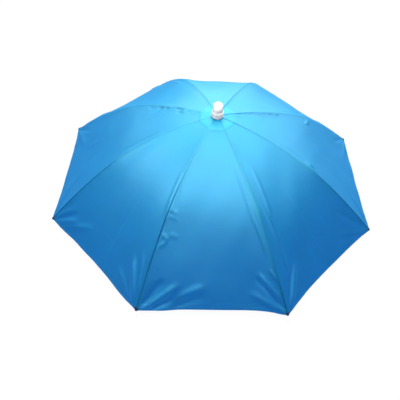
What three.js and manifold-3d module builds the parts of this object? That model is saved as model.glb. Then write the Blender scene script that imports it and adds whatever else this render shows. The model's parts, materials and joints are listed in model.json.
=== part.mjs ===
// An umbrella hat: an eight-panel cloth canopy on folding ribs, with an elastic headband hung under it.
// Millimetres, +Z up. The hat stands on its eight rib tips at z = 0, with the finial on the Z axis.
// Heights in the functions below are taken from the canopy's corners, and the whole hat is lifted at the end.
import * as THREE from "three";
import { mergeVertices } from "three/addons/utils/BufferGeometryUtils.js";
import Module from "manifold-3d";

// Canopy
const panelCount = 8;
const canopyRadius = 325; // from the axis to a corner of the hem
const canopyRise = 157.5; // from the corners up to the cloth at the axis
const kneeRadius = 190; // where a rib folds
const kneeRise = 106.7; // height of the cloth over the knee
const crownCurve = 1.86; // power of the inner rib's curve, 1 for a cone and 2 for a round crown
const skirtBulge = 5; // how far the outer rib bulges over a straight line from the knee to the corner
const ribBow = 4.5; // how far the ribs bow sideways halfway out, clockwise from above
const clothThickness = 1.2;
const panelDip = 1.6; // how far a panel's middle dips in between its two ribs
const hemScallop = 3.6; // how far the hem is drawn in at a panel's middle

// How deep a panel dips along the rib, as a share of panelDip, and where, as a share of canopyRadius.
const dipSections = [
  { reach: 0, depth: 0 },
  { reach: 0.2, depth: 0.35 },
  { reach: 0.45, depth: 0.8 },
  { reach: 0.66, depth: 1 },
  { reach: 0.85, depth: 0.85 },
  { reach: 1, depth: 0.2 },
];

// Patch and finial
const patchRadius = 36; // to a corner of the patch
const patchThickness = 1;
const collarRadius = 10;
const collarTopRadius = 9.4;
const collarHeight = 16;
const capRadius = 8.5;
const capHeight = 10;
const capRounding = 4;
const capBore = 6; // how deep the post goes into the cap

// Centre
const postRadius = 3.5;
const footRadius = 9;
const footHeight = 3;
const hubRadius = 14;
const hubHeight = 12;
const runnerRadius = 13;
const runnerHeight = 11;
const runnerDrop = 14; // free height between the hub and the runner
const notchDepth = 5; // how deep a rib or a stretcher sits in its slot

// Ribs
const outerRibWidth = 2.6;
const ribCheek = 0.8; // wall of the fork at an inner rib's end
const ribDepth = 3;
const kneeOverlap = 12; // how far an outer rib reaches back into the fork
const kneeLip = 4; // how far the fork reaches past the knee
const tipRadius = 2.4;
const tipLength = 13;
const stretcherWidth = 2.6;
const stretcherDepth = 3;
const stretcherReach = 80; // radius at which a stretcher meets its rib

// Headband
const bandRadius = 92; // inside
const bandThickness = 2;
const bandHeight = 25;
const bandDrop = 87; // from the cloth at the axis down to the band's top edge
const hangerWidth = 14;
const hangerThickness = 1.6;

const clearance = 0.3; // free gap between pieces that touch

// Mesh fineness
const panelColumns = 8;
const patchRows = 2;
const crownRows = 6;
const skirtRows = 5;
const bladeSteps = 8;
const roundSides = 32;
const bandSides = 48;
const tipSides = 10;

const panelAngle = (2 * Math.PI) / panelCount;
const ribAngles = Array.from({ length: panelCount }, (_, i) => -Math.PI / 2 + (i + 0.5) * panelAngle);
const innerRibWidth = outerRibWidth + 2 * (clearance + ribCheek);
const boreRadius = postRadius + clearance;
// A straight edge between two corners passes nearer to the axis than its corners by this share.
const flatShare = Math.cos(panelAngle / 2);

// Height and slope of the cloth's outer face along a rib.
function ribHeight(radius) {
  if (radius > kneeRadius) {
    const down = (radius - kneeRadius) / (canopyRadius - kneeRadius);
    return kneeRise * (1 - down) + skirtBulge * 4 * down * (1 - down);
  }
  return canopyRise - (canopyRise - kneeRise) * (radius / kneeRadius) ** crownCurve;
}

function ribSlope(radius) {
  const step = 1;
  const inside = Math.max(radius - step, 0);
  return Math.atan2(ribHeight(inside) - ribHeight(radius + step), radius + step - inside);
}

function dipAt(reach) {
  const next = Math.max(1, dipSections.findIndex((section) => section.reach >= reach));
  const [low, high] = [dipSections[next - 1], dipSections[next]];
  const share = (reach - low.reach) / (high.reach - low.reach);
  return panelDip * THREE.MathUtils.lerp(low.depth, high.depth, share);
}

// Turns each point about the axis, as far as the ribs' sideways bow takes it there.
const upwards = new THREE.Vector3(0, 0, 1);

function bowed(geometry) {
  const points = geometry.attributes.position;
  for (let i = 0; i < points.count; i++) {
    const point = new THREE.Vector3().fromBufferAttribute(points, i);
    const radius = Math.hypot(point.x, point.y);
    const reach = Math.min(radius / canopyRadius, 1);
    point.applyAxisAngle(upwards, (-ribBow * Math.sin(Math.PI * reach)) / radius);
    points.setXYZ(i, point.x, point.y, point.z);
  }
  return geometry;
}

// A point of the canopy's outer face: radius is taken along the ribs, across runs from 0 to 1 between two ribs.
function panelPoint(panel, radius, across) {
  const bow = 4 * across * (1 - across);
  const skirt = Math.max(0, (radius - kneeRadius) / (canopyRadius - kneeRadius));
  const reach = radius - (bow * skirt * hemScallop) / flatShare;
  const height = ribHeight(reach);
  const [start, end] = [ribAngles[panel], ribAngles[panel] + panelAngle];
  const point = new THREE.Vector3(reach * Math.cos(start), reach * Math.sin(start), height);
  point.lerp(new THREE.Vector3(reach * Math.cos(end), reach * Math.sin(end), height), across);
  const middle = (start + end) / 2;
  const slope = ribSlope(reach);
  const inward = new THREE.Vector3(
    -Math.sin(slope) * Math.cos(middle),
    -Math.sin(slope) * Math.sin(middle),
    -Math.cos(slope),
  );
  return point.addScaledVector(inward, bow * dipAt(reach / canopyRadius));
}

// A closed layer of cloth that follows the canopy, between two distances from the canopy's outer face.
function clothLayer(radii, low, high) {
  const columns = panelCount * panelColumns;
  const base = [];
  for (const radius of radii) {
    for (let column = 0; column < columns; column++) {
      const panel = Math.floor(column / panelColumns);
      base.push(panelPoint(panel, radius, (column % panelColumns) / panelColumns));
    }
  }
  const at = (row, column) => row * columns + (column % columns);
  const face = [];
  for (let row = 0; row < radii.length - 1; row++) {
    for (let column = 0; column < columns; column++) {
      const corners = [at(row, column), at(row + 1, column), at(row + 1, column + 1), at(row, column + 1)];
      face.push([corners[0], corners[1], corners[2]], [corners[0], corners[2], corners[3]]);
    }
  }
  const sheet = new THREE.BufferGeometry().setFromPoints(base);
  sheet.setIndex(face.flat());
  sheet.computeVertexNormals();
  const normals = base.map((_, i) => new THREE.Vector3().fromBufferAttribute(sheet.attributes.normal, i));
  const lifted = (distance) => base.map((point, i) => point.clone().addScaledVector(normals[i], distance));
  const under = base.length;
  const triangles = [...face, ...face.map(([a, b, c]) => [under + a, under + c, under + b])];
  const last = radii.length - 1;
  for (let column = 0; column < columns; column++) {
    const [a, b] = [at(0, column), at(0, column + 1)];
    const [c, d] = [at(last, column), at(last, column + 1)];
    triangles.push([a, b, under + b], [a, under + b, under + a]);
    triangles.push([c, under + d, d], [c, under + c, under + d]);
  }
  const layer = new THREE.BufferGeometry().setFromPoints([...lifted(high), ...lifted(low)]);
  layer.setIndex(triangles.flat());
  return layer;
}

// Equal steps from one radius to the next, without the first.
function steps(from, to, count) {
  return Array.from({ length: count }, (_, i) => from + ((to - from) * (i + 1)) / count);
}

const clothBore = boreRadius / flatShare;
const patchRadii = [clothBore, ...steps(clothBore, patchRadius, patchRows)];
const canopyRadii = [
  ...patchRadii,
  ...steps(patchRadius, kneeRadius, crownRows),
  ...steps(kneeRadius, canopyRadius, skirtRows),
];

// A flat plate cut to an outline in a rib's upright plane, and as thick as width.
function blade(outline, width) {
  const shape = new THREE.Shape(outline.map(([radius, height]) => new THREE.Vector2(radius, height)));
  const plate = new THREE.ExtrudeGeometry(shape, { depth: width, bevelEnabled: false });
  plate.translate(0, 0, -width / 2);
  plate.rotateX(Math.PI / 2);
  return plate;
}

// How far the cloth's two sides fall away from the seam over half of a rib's width.
function seamFall(radius, width) {
  const chord = 2 * Math.max(radius, hubRadius) * Math.sin(panelAngle / 2);
  const fold = Math.tan(panelAngle / 2) * Math.tan(ribSlope(radius));
  return (width / 2) * (fold + (4 * dipAt(radius / canopyRadius)) / chord);
}

// A point under the seam at a radius, this far below the line where a rib's top runs.
function underSeam(radius, below, width) {
  const distance = clothThickness + clearance + seamFall(radius, width) + below;
  const slope = ribSlope(radius);
  return [radius - Math.sin(slope) * distance, ribHeight(radius) - Math.cos(slope) * distance];
}

// The outline of a rib between two radii, in a rib's upright plane.
function ribOutline(from, to, width) {
  const radii = [from, ...steps(from, to, bladeSteps)];
  const top = radii.map((radius) => underSeam(radius, 0, width));
  const bottom = radii.map((radius) => underSeam(radius, ribDepth, width));
  return [...top, ...bottom.reverse()];
}

// Cuts one closed geometry out of another.
const wasm = await Module();
wasm.setup();

function solid(geometry) {
  const bare = geometry.clone();
  bare.deleteAttribute("normal");
  bare.deleteAttribute("uv");
  const merged = mergeVertices(bare);
  return new wasm.Manifold(
    new wasm.Mesh({
      numProp: 3,
      vertProperties: Float32Array.from(merged.attributes.position.array),
      triVerts: Uint32Array.from(merged.index.array),
    }),
  );
}

function cut(body, tool) {
  const mesh = solid(body).subtract(solid(tool)).getMesh();
  const geometry = new THREE.BufferGeometry();
  geometry.setAttribute("position", new THREE.BufferAttribute(mesh.vertProperties, 3));
  geometry.setIndex(new THREE.BufferAttribute(mesh.triVerts, 1));
  return geometry;
}

// The inner rib is a curved bar whose outer end is a fork for the outer rib.
function innerRib() {
  const start = hubRadius - notchDepth + clearance;
  const end = kneeRadius + kneeLip;
  const bar = blade(ribOutline(start, end, innerRibWidth), innerRibWidth);
  const slotRadii = [kneeRadius - kneeOverlap - clearance, kneeRadius, end + kneeLip];
  const slotTop = slotRadii.map((radius) => underSeam(radius, -ribDepth, innerRibWidth));
  const slotBottom = slotRadii.map((radius) => underSeam(radius, 2 * ribDepth, innerRibWidth));
  const slot = blade([...slotTop, ...slotBottom.reverse()], outerRibWidth + 2 * clearance);
  return cut(bar, slot);
}

function outerRib() {
  return blade(ribOutline(kneeRadius - kneeOverlap, canopyRadius, innerRibWidth), outerRibWidth);
}

// A round-ended tip in line with the outer rib, just past the hem's corner.
function ribTip() {
  const ball = tipLength - tipRadius;
  const profile = new THREE.Path();
  profile.moveTo(0, 0);
  profile.lineTo(outerRibWidth / 2, 0);
  profile.lineTo(tipRadius, tipRadius);
  profile.lineTo(tipRadius, ball);
  profile.absarc(0, ball, tipRadius, 0, Math.PI / 2);
  const tip = new THREE.LatheGeometry(profile.getPoints(3), tipSides);
  const [radius, height] = underSeam(canopyRadius, ribDepth / 2, innerRibWidth);
  const slope = ribSlope(canopyRadius);
  tip.rotateX(Math.PI / 2);
  tip.rotateY(Math.PI / 2 + slope);
  tip.translate(radius + Math.cos(slope) * clearance, 0, height - Math.sin(slope) * clearance);
  return tip;
}

// Heights of the stack on the axis.
const hubTop = ribHeight(hubRadius / flatShare) - dipAt(hubRadius / canopyRadius) - clothThickness - clearance;
const hubBottom = hubTop - hubHeight;
const runnerTop = hubBottom - runnerDrop;
const runnerBottom = runnerTop - runnerHeight;
const footBottom = runnerBottom - clearance - footHeight;
const collarBottom = ribHeight(clothBore) + 2 * clearance + patchThickness;
const capBottom = collarBottom + collarHeight + clearance;

// A ring with a slot for each rib or stretcher, extruded upwards from its bottom.
function notchedRing(radius, height, bottom, barWidth) {
  const slotWidth = barWidth + 2 * clearance;
  const halfSlot = Math.asin(slotWidth / 2 / radius);
  const arcSteps = roundSides / panelCount;
  const outline = [];
  for (const angle of ribAngles) {
    const along = new THREE.Vector2(Math.cos(angle), Math.sin(angle));
    const side = new THREE.Vector2(-along.y, along.x);
    for (const sign of [-1, 1]) {
      const corner = along.clone().multiplyScalar(radius - notchDepth);
      outline.push(corner.addScaledVector(side, (sign * slotWidth) / 2));
    }
    const arc = panelAngle - 2 * halfSlot;
    for (let i = 0; i <= arcSteps; i++) {
      const turn = angle + halfSlot + (arc * i) / arcSteps;
      outline.push(new THREE.Vector2(radius * Math.cos(turn), radius * Math.sin(turn)));
    }
  }
  const shape = new THREE.Shape(outline);
  shape.holes.push(new THREE.Path().absarc(0, 0, boreRadius, 0, 2 * Math.PI, true));
  const ring = new THREE.ExtrudeGeometry(shape, { depth: height, bevelEnabled: false, curveSegments: 10 });
  ring.translate(0, 0, bottom);
  return ring;
}

// A turned piece from a profile of [radius, height] points, with one of its flats at the front.
function turned(profile, sides = roundSides) {
  const points = profile.map(([radius, height]) => new THREE.Vector2(radius, height));
  const piece = new THREE.LatheGeometry(points, sides, -Math.PI / sides);
  piece.rotateX(Math.PI / 2);
  return piece;
}

function post() {
  const footTop = footBottom + footHeight;
  return turned([
    [0, footBottom],
    [footRadius, footBottom],
    [footRadius, footTop],
    [postRadius, footTop],
    [postRadius, capBottom + capBore - clearance],
    [0, capBottom + capBore - clearance],
  ]);
}

function collar() {
  return turned([
    [boreRadius, collarBottom],
    [collarRadius, collarBottom],
    [collarTopRadius, collarBottom + collarHeight],
    [boreRadius, collarBottom + collarHeight],
    [boreRadius, collarBottom],
  ]);
}

function cap() {
  const rounding = [0, 1 / 3, 2 / 3, 1].map((share) => {
    const angle = (share * Math.PI) / 2;
    return [
      capRadius - capRounding * (1 - Math.cos(angle)),
      capBottom + capHeight - capRounding * (1 - Math.sin(angle)),
    ];
  });
  return turned([
    [0, capBottom + capBore],
    [boreRadius, capBottom + capBore],
    [boreRadius, capBottom],
    [capRadius, capBottom],
    ...rounding,
    [0, capBottom + capHeight],
  ]);
}

// A strut from the runner up to the underside of its rib.
function stretcher() {
  const start = runnerRadius - notchDepth + clearance;
  const startTop = runnerTop - (runnerHeight - stretcherDepth) / 2;
  const [endRadius, ribUnderside] = underSeam(stretcherReach, ribDepth, innerRibWidth);
  const endTop = ribUnderside - clearance;
  const outline = [
    [start, startTop],
    [endRadius, endTop],
    [endRadius, endTop - stretcherDepth],
    [start, startTop - stretcherDepth],
  ];
  return blade(outline, stretcherWidth);
}

const bandTop = canopyRise - bandDrop;
const bandBottom = bandTop - bandHeight;
const bandOutside = bandRadius + bandThickness;

function headband() {
  return turned(
    [
      [bandRadius, bandBottom],
      [bandOutside, bandBottom],
      [bandOutside, bandTop],
      [bandRadius, bandTop],
      [bandRadius, bandBottom],
    ],
    bandSides,
  );
}

// A strap that runs from the underside of a rib down the outside of the headband.
function bandHanger() {
  const inside = bandOutside + clearance;
  const outside = inside + hangerThickness;
  const top = (radius) => underSeam(radius, ribDepth, innerRibWidth)[1] - 2 * clearance;
  const outline = [
    [inside, bandBottom],
    [outside, bandBottom],
    [outside, top(outside)],
    [inside, top(inside)],
  ];
  return blade(outline, hangerWidth);
}

const cloth = new THREE.MeshStandardMaterial({ color: 0x2a92dc, roughness: 0.55, metalness: 0 });
const whitePlastic = new THREE.MeshStandardMaterial({ color: 0xf4f4f6, roughness: 0.4, metalness: 0 });
const steel = new THREE.MeshStandardMaterial({ color: 0xb9bcc0, roughness: 0.35, metalness: 1 });
const elastic = new THREE.MeshStandardMaterial({ color: 0x202226, roughness: 0.8, metalness: 0 });

const hat = new THREE.Group();

function add(name, geometry, material, angle = 0) {
  const mesh = new THREE.Mesh(geometry, material);
  mesh.name = name;
  mesh.rotation.z = angle;
  hat.add(mesh);
}

add("canopy", bowed(clothLayer(canopyRadii, -clothThickness, 0)), cloth);
add("top_patch", bowed(clothLayer(patchRadii, clearance, clearance + patchThickness)), cloth);
add("finial_collar", collar(), whitePlastic);
add("finial_cap", cap(), whitePlastic);
add("post", post(), steel);
add("hub", bowed(notchedRing(hubRadius, hubHeight, hubBottom, innerRibWidth)), whitePlastic);
add("runner", bowed(notchedRing(runnerRadius, runnerHeight, runnerBottom, stretcherWidth)), whitePlastic);
add("headband", headband(), elastic);

const repeated = [
  { name: "inner_rib", geometry: innerRib(), material: steel },
  { name: "outer_rib", geometry: outerRib(), material: steel },
  { name: "rib_tip", geometry: ribTip(), material: whitePlastic },
  { name: "stretcher", geometry: stretcher(), material: steel },
  { name: "band_hanger", geometry: bandHanger(), material: elastic },
];
for (const { name, geometry, material } of repeated) {
  bowed(geometry);
  ribAngles.forEach((angle, i) => add(`${name}_${i + 1}`, geometry, material, angle));
}

// Stand the rib tips on z = 0.
hat.position.z = -new THREE.Box3().setFromObject(hat).min.z;

export default hat;
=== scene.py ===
"""Dresses an umbrella hat: its cloth canopy, patch, finial, rib fittings and headband, in a white studio.

The canopy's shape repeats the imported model's, in metres: eight panels sewn along eight ribs, with a knee in
each rib. Heights in the canopy functions are taken from the hem's corners.
"""

import json
import math

import bpy
import numpy as np
from mathutils import Matrix, Vector

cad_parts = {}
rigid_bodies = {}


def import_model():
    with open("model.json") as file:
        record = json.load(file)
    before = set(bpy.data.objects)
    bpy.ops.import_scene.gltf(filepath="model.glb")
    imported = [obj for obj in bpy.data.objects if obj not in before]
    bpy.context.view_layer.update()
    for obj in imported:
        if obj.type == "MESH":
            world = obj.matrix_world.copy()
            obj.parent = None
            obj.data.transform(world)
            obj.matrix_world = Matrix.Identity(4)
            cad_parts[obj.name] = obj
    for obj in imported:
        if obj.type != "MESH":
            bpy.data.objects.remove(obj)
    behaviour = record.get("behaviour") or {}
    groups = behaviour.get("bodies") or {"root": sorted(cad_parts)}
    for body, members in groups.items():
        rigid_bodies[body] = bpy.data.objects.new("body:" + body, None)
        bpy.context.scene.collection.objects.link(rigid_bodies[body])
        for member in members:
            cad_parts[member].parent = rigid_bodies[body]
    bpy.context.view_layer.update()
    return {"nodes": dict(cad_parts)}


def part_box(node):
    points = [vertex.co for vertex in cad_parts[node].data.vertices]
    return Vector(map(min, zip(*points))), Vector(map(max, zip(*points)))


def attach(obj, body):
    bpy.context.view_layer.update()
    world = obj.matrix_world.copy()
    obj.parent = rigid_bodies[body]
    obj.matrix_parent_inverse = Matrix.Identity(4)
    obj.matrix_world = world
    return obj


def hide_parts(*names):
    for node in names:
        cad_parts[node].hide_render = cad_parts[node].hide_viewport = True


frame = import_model()

bl_info = {
    "name": "Umbrella hat",
    "version": (1, 0, 0),
    "blender": (4, 5, 0),
    "location": "3D View > Sidebar > Umbrella hat",
    "description": "Builds the cloth, fittings, headband and studio of an umbrella hat round its CAD frame",
    "category": "Object",
}

MM = 0.001
PANELS = 8
TURN = 2 * math.pi / PANELS
HALF_CHORD = math.sin(TURN / 2)
FLAT_SHARE = math.cos(TURN / 2)
# The first rib stands at the front right, and the others follow anticlockwise from above.
RIB_ANGLES = [-math.pi / 2 + (i + 0.5) * TURN for i in range(PANELS)]

# How deep a panel dips between its ribs, as a share of the dip setting, by reach from the axis to the corner.
DIP_REACH = [0, 0.2, 0.45, 0.66, 0.85, 1]
DIP_SHARE = [0, 0.35, 0.8, 1, 0.85, 0.2]

# How the cloth rounds off the knee: over how many mm along a rib, how much of the setting at a seam, and the
# steps and weights of the mean of heights that it takes.
KNEE_SPREAD = 65
SEAM_ROUNDING = 0.3
KNEE_STEPS = [(-1, 1), (-2 / 3, 2), (-1 / 3, 3), (0, 4), (1 / 3, 3), (2 / 3, 2), (1, 1)]

# Lengths in mm of the cloth's slow waves, of the puckers along a seam and of their swell.
WAVES = [46, 62, 85, 120, 170]
PUCKER_WAVES = [15, 24]
SWELL_WAVE = 67

# Seeds of the uneven waves and puckers, so that each run gives the same cloth. Each is added to a panel's
# number, but the seams' is multiplied by it, with 1 more at the panel's far side.
WAVE_SEED = 400
SEAM_SEED = 20
HEM_SEED = 90
PATCH_SEED = 60

# Places in mm of the mesh's close columns beside a seam and of its close rows at the hem, and the half width
# of a seam's groove.
BESIDE_SEAM = [0, 0.7, 1.4, 2.1, 2.9, 3.8, 5.2, 7.5]
BESIDE_HEM = [8.5, 7.5, 6.7, 5.9, 5.1, 4.2, 3, 1.6, 0.7, 0]
GROOVE = 0.9

# The stitches' pitch in mm, the share of it that shows thread, and how dark the rows beside the seams are.
STITCH = 2.5
STITCH_SHARE = 0.7
SEAM_LINE = 0.07

# Sections of a corner pocket, from its open end to its closed end: share of the length back from the corner,
# share of the half width, and depth below the ridge in mm.
POCKET_SIDES = 20
POCKET_SECTIONS = [
    (1.0, 1.0, 4.5),
    (0.7, 0.98, 5.2),
    (0.35, 0.86, 5.8),
    (0.05, 0.6, 5.6),
    (-0.1, 0.36, 4.8),
]

# Where a rib tip's mesh is cut across, as shares of its length from the root.
TIP_CUTS = [0.06, 0.14, 0.2, 0.66, 0.74, 0.82, 0.9, 0.96]

# The picture's width and height in pixels.
PICTURE = 400

# Soft square lights on a sphere round the point that they face: name, azimuth and elevation in degrees, and
# power in watts. Most stand behind and above, so the front of the skirt falls into its own shade.
LIGHT_AIM = (0, 0, 0.1)
LIGHTS = [
    ("top", 1, 89, 10.2),
    ("high right", 1, 58, 4.6),
    ("high back right", 46, 58, 2.6),
    ("high back", 91, 58, 4.4),
    ("high left", 181, 58, 9.2),
    ("high front", 271, 58, 3.6),
    ("back right", 46, 30, 6.5),
    ("back", 91, 30, 10),
    ("back left", 136, 30, 4.6),
    ("low back", 80, 8, 4.5),
    ("low right", 40, 8, 1.0),
]

# Long folds in the cloth. Each runs straight in the flat panel between two places, given as the share across
# the panel and the share of the way out to the hem. Panel 0 is at the front right and panel 7 at the front.
# panel, across, reach, across, reach, half width in mm, height in mm
FOLDS = [
    # soft lines beside the ribs
    (0, 0.230, 0.38, 0.156, 0.64, 3.0, 0.45),
    (0, 0.110, 0.58, 0.125, 0.88, 2.2, 0.75),
    (0, 0.330, 0.74, 0.300, 0.88, 2.2, 0.35),
    (0, 0.400, 0.72, 0.385, 0.86, 2.2, 0.30),
    (7, 0.900, 0.34, 0.925, 0.62, 2.4, 0.35),
    (7, 0.935, 0.60, 0.965, 0.76, 2.0, 0.50),
    (6, 0.940, 0.40, 0.975, 0.60, 2.4, 0.40),
    (1, 0.100, 0.35, 0.070, 0.62, 3.0, 0.40),
    (5, 0.890, 0.30, 0.930, 0.58, 3.0, 0.40),
    (2, 0.120, 0.45, 0.080, 0.80, 3.0, 0.40),
    (3, 0.880, 0.45, 0.930, 0.80, 3.0, 0.40),
    (4, 0.130, 0.50, 0.090, 0.85, 3.0, 0.40),
    # pulls that spread from the corners
    (6, 0.830, 0.845, 0.962, 0.985, 4.5, 1.30),
    (6, 0.900, 0.800, 0.975, 0.960, 4.0, 0.60),
    (6, 0.740, 0.930, 0.930, 0.990, 4.5, 0.60),
    (7, 0.030, 0.985, 0.130, 0.880, 4.5, -1.20),
    (7, 0.050, 0.995, 0.245, 0.900, 4.2, 1.45),
    (7, 0.080, 1.000, 0.290, 0.935, 4.2, -0.85),
    (7, 0.229, 0.960, 0.440, 0.905, 4.8, 1.00),
    (7, 0.250, 0.990, 0.440, 0.945, 4.5, -0.45),
    (7, 0.860, 0.845, 0.975, 0.940, 3.4, 1.05),
    (7, 0.840, 0.865, 0.985, 0.975, 3.2, -1.10),
    (7, 0.955, 0.820, 0.995, 0.858, 2.6, 0.60),
    (7, 0.780, 0.930, 0.955, 0.988, 4.5, 0.70),
    (0, 0.215, 0.870, 0.055, 0.990, 2.6, 1.35),
    (0, 0.150, 0.870, 0.035, 0.970, 3.2, -0.60),
    (0, 0.427, 0.855, 0.350, 0.945, 3.4, 0.45),
    (0, 0.700, 0.920, 0.960, 0.990, 5.5, 0.25),
    (0, 0.860, 0.820, 0.975, 0.970, 5.0, -0.30),
    (0, 0.700, 0.930, 0.900, 0.985, 4.0, -0.35),
    (6, 0.010, 0.985, 0.100, 0.885, 3.6, 0.70),
    (6, 0.050, 0.990, 0.195, 0.920, 4.0, 1.00),
    (6, 0.100, 0.992, 0.350, 0.900, 4.5, 0.75),
    (6, 0.030, 0.990, 0.150, 0.900, 3.4, -0.55),
    (5, 0.060, 0.985, 0.320, 0.898, 4.0, 0.90),
    (5, 0.030, 0.980, 0.150, 0.870, 3.8, -0.60),
    (5, 0.385, 0.865, 0.430, 0.765, 3.5, 0.50),
    (5, 0.760, 0.920, 0.955, 0.988, 4.2, 0.70),
    (1, 0.050, 0.985, 0.220, 0.900, 4.0, 0.80),
    (1, 0.700, 0.930, 0.940, 0.985, 4.2, 0.80),
    (1, 0.860, 0.860, 0.970, 0.965, 4.0, -0.60),
    (2, 0.060, 0.985, 0.260, 0.900, 4.2, 0.90),
    (2, 0.030, 0.975, 0.110, 0.860, 4.0, -0.60),
    (2, 0.760, 0.910, 0.955, 0.985, 4.2, 0.90),
    (3, 0.050, 0.985, 0.240, 0.895, 4.2, 0.90),
    (3, 0.120, 0.992, 0.380, 0.920, 4.2, -0.55),
    (3, 0.780, 0.900, 0.960, 0.985, 4.2, 0.90),
    (4, 0.050, 0.985, 0.230, 0.900, 4.2, 0.90),
    (4, 0.750, 0.920, 0.955, 0.985, 4.2, 0.90),
    (4, 0.880, 0.850, 0.975, 0.965, 4.0, -0.60),
    # short puckers at the knees
    (7, 0.010, 0.582, 0.120, 0.600, 2.2, 0.55),
    (7, 0.020, 0.610, 0.130, 0.622, 2.2, 0.45),
    (7, 0.020, 0.688, 0.090, 0.715, 2.4, 0.70),
    (7, 0.030, 0.742, 0.085, 0.718, 2.2, 0.60),
    (7, 0.090, 0.690, 0.180, 0.700, 2.6, 0.35),
    (5, 0.110, 0.405, 0.200, 0.430, 2.6, 0.60),
    (5, 0.190, 0.330, 0.300, 0.370, 2.8, 0.60),
    (5, 0.180, 0.215, 0.300, 0.235, 2.2, -0.70),
    (5, 0.520, 0.785, 0.840, 0.905, 1.6, 0.40),
    # small tucks that the stitching pulls beside the two side seams, near the top
    (5, 0.020, 0.225, 0.150, 0.228, 2.2, -1.00),
    (5, 0.020, 0.262, 0.130, 0.266, 2.2, -1.10),
    (5, 0.020, 0.308, 0.140, 0.312, 2.3, -0.90),
    (5, 0.020, 0.352, 0.120, 0.357, 2.3, -1.00),
    (5, 0.020, 0.402, 0.130, 0.408, 2.4, -0.80),
    (1, 0.980, 0.125, 0.800, 0.127, 1.9, -1.00),
    (1, 0.980, 0.152, 0.830, 0.154, 1.9, -1.10),
    (1, 0.980, 0.183, 0.840, 0.186, 2.0, -1.00),
    (1, 0.980, 0.212, 0.870, 0.215, 2.0, -1.00),
    (1, 0.980, 0.250, 0.850, 0.253, 2.1, -0.90),
    (1, 0.980, 0.292, 0.880, 0.296, 2.1, -0.80),
    (1, 0.980, 0.340, 0.880, 0.344, 2.2, -0.70),
    (1, 0.860, 0.590, 0.960, 0.610, 3.6, 1.00),
    (1, 0.030, 0.560, 0.130, 0.580, 3.6, 1.00),
]

# Each height above is taken this many times, so that the folds show as strongly as in the real cloth.
FOLD_SHARE = 2.5

# Sharp creases left by folding the hat away, one down each panel's middle: across and reach of the two ends,
# and the crease's strength, which sets both its bump and its painted highlight.
CREASES = [
    (0.510, 0.55, 0.500, 0.96, 0.7),
    (0.450, 0.50, 0.470, 0.95, 0.35),
    (0.520, 0.45, 0.510, 0.95, 0.35),
    (0.480, 0.55, 0.500, 0.96, 0.35),
    (0.530, 0.50, 0.520, 0.95, 0.35),
    (0.560, 0.52, 0.540, 0.95, 0.35),
    (0.594, 0.56, 0.594, 0.96, 0.8),
    (0.500, 0.60, 0.500, 0.90, 0.0),
]

# How strongly the stitching gathers the cloth beside each rib, as a share of the setting: in the panel before
# the rib and in the panel after it, on the crown and on the skirt.
GATHERS = [
    {"crown": (0.4, 0.4), "skirt": (0.35, 0.3)},
    {"crown": (0.6, 0.4), "skirt": (0.3, 0.3)},
    {"crown": (2.6, 0.4), "skirt": (0.5, 0.4)},
    {"crown": (0.4, 0.4), "skirt": (0.4, 0.4)},
    {"crown": (0.4, 0.4), "skirt": (0.4, 0.4)},
    {"crown": (0.5, 2.4), "skirt": (0.4, 0.5)},
    {"crown": (0.6, 0.4), "skirt": (0.3, 0.3)},
    {"crown": (0.4, 0.5), "skirt": (0.3, 0.55)},
]

# The front hems hang a few millimetres unevenly. For each uneven panel: how many mm the hem stands out, or in
# where it is less than 0, at these shares across the panel. The steps are those of the mean that smooths it.
HEM_ACROSS = [0, 0.15, 0.3, 0.5, 0.7, 0.85, 1]
HEM_STEPS = [-0.05, 0, 0.05]
HEM_CHANGE = {
    0: [0, -1.2, -1.8, -0.8, -1.6, -1.8, 0],
    5: [0, -2.5, -1.2, -1.2, -1.5, -1.5, 0],
    6: [0, 2.0, 0.3, 1.2, 0.9, 2.8, 0],
    7: [0, 1.8, 0.2, 0.2, -1.4, -3.0, 0],
}

# How dark each rib's seam shows, from 0 to 1, at these shares of the way out to the corner.
# The darkness is the thread's colour with painted shade over it; it also sets how deep each seam's groove is.
SEAM_REACH = [0.1, 0.3, 0.5, 0.7, 0.95]
SEAM_SHADE = [
    [0.30, 0.30, 0.05, 0.00, 0.60],
    [0.70, 0.45, 0.15, 0.80, 1.00],
    [0.75, 0.30, 0.40, 0.50, 0.50],
    [0.62, 0.65, 0.60, 0.60, 0.50],
    [0.40, 0.45, 0.50, 0.45, 0.45],
    [0.08, 0.03, 0.40, 0.45, 0.50],
    [0.30, 0.10, 0.05, 0.75, 1.00],
    [0.07, 0.25, 0.75, 1.00, 0.45],
]


def length(name, description, default):
    """A setting in metres, with a default given in millimetres."""
    return bpy.props.FloatProperty(
        name=name, description=description, default=default * MM, unit="LENGTH", precision=5
    )


def tilt(name, description, default):
    """A setting in radians, with a default given in degrees."""
    return bpy.props.FloatProperty(
        name=name, description=description, default=math.radians(default), subtype="ANGLE"
    )


def number(name, description, default, **kind):
    """A setting without a length or an angle."""
    return bpy.props.FloatProperty(name=name, description=description, default=default, **kind)


def count(name, description, default):
    """A setting that is a whole number."""
    return bpy.props.IntProperty(name=name, description=description, default=default)


def colour(name, description, default):
    """A colour setting, as an sRGB hex value."""
    return bpy.props.StringProperty(name=name, description=description, default=default)


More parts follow.
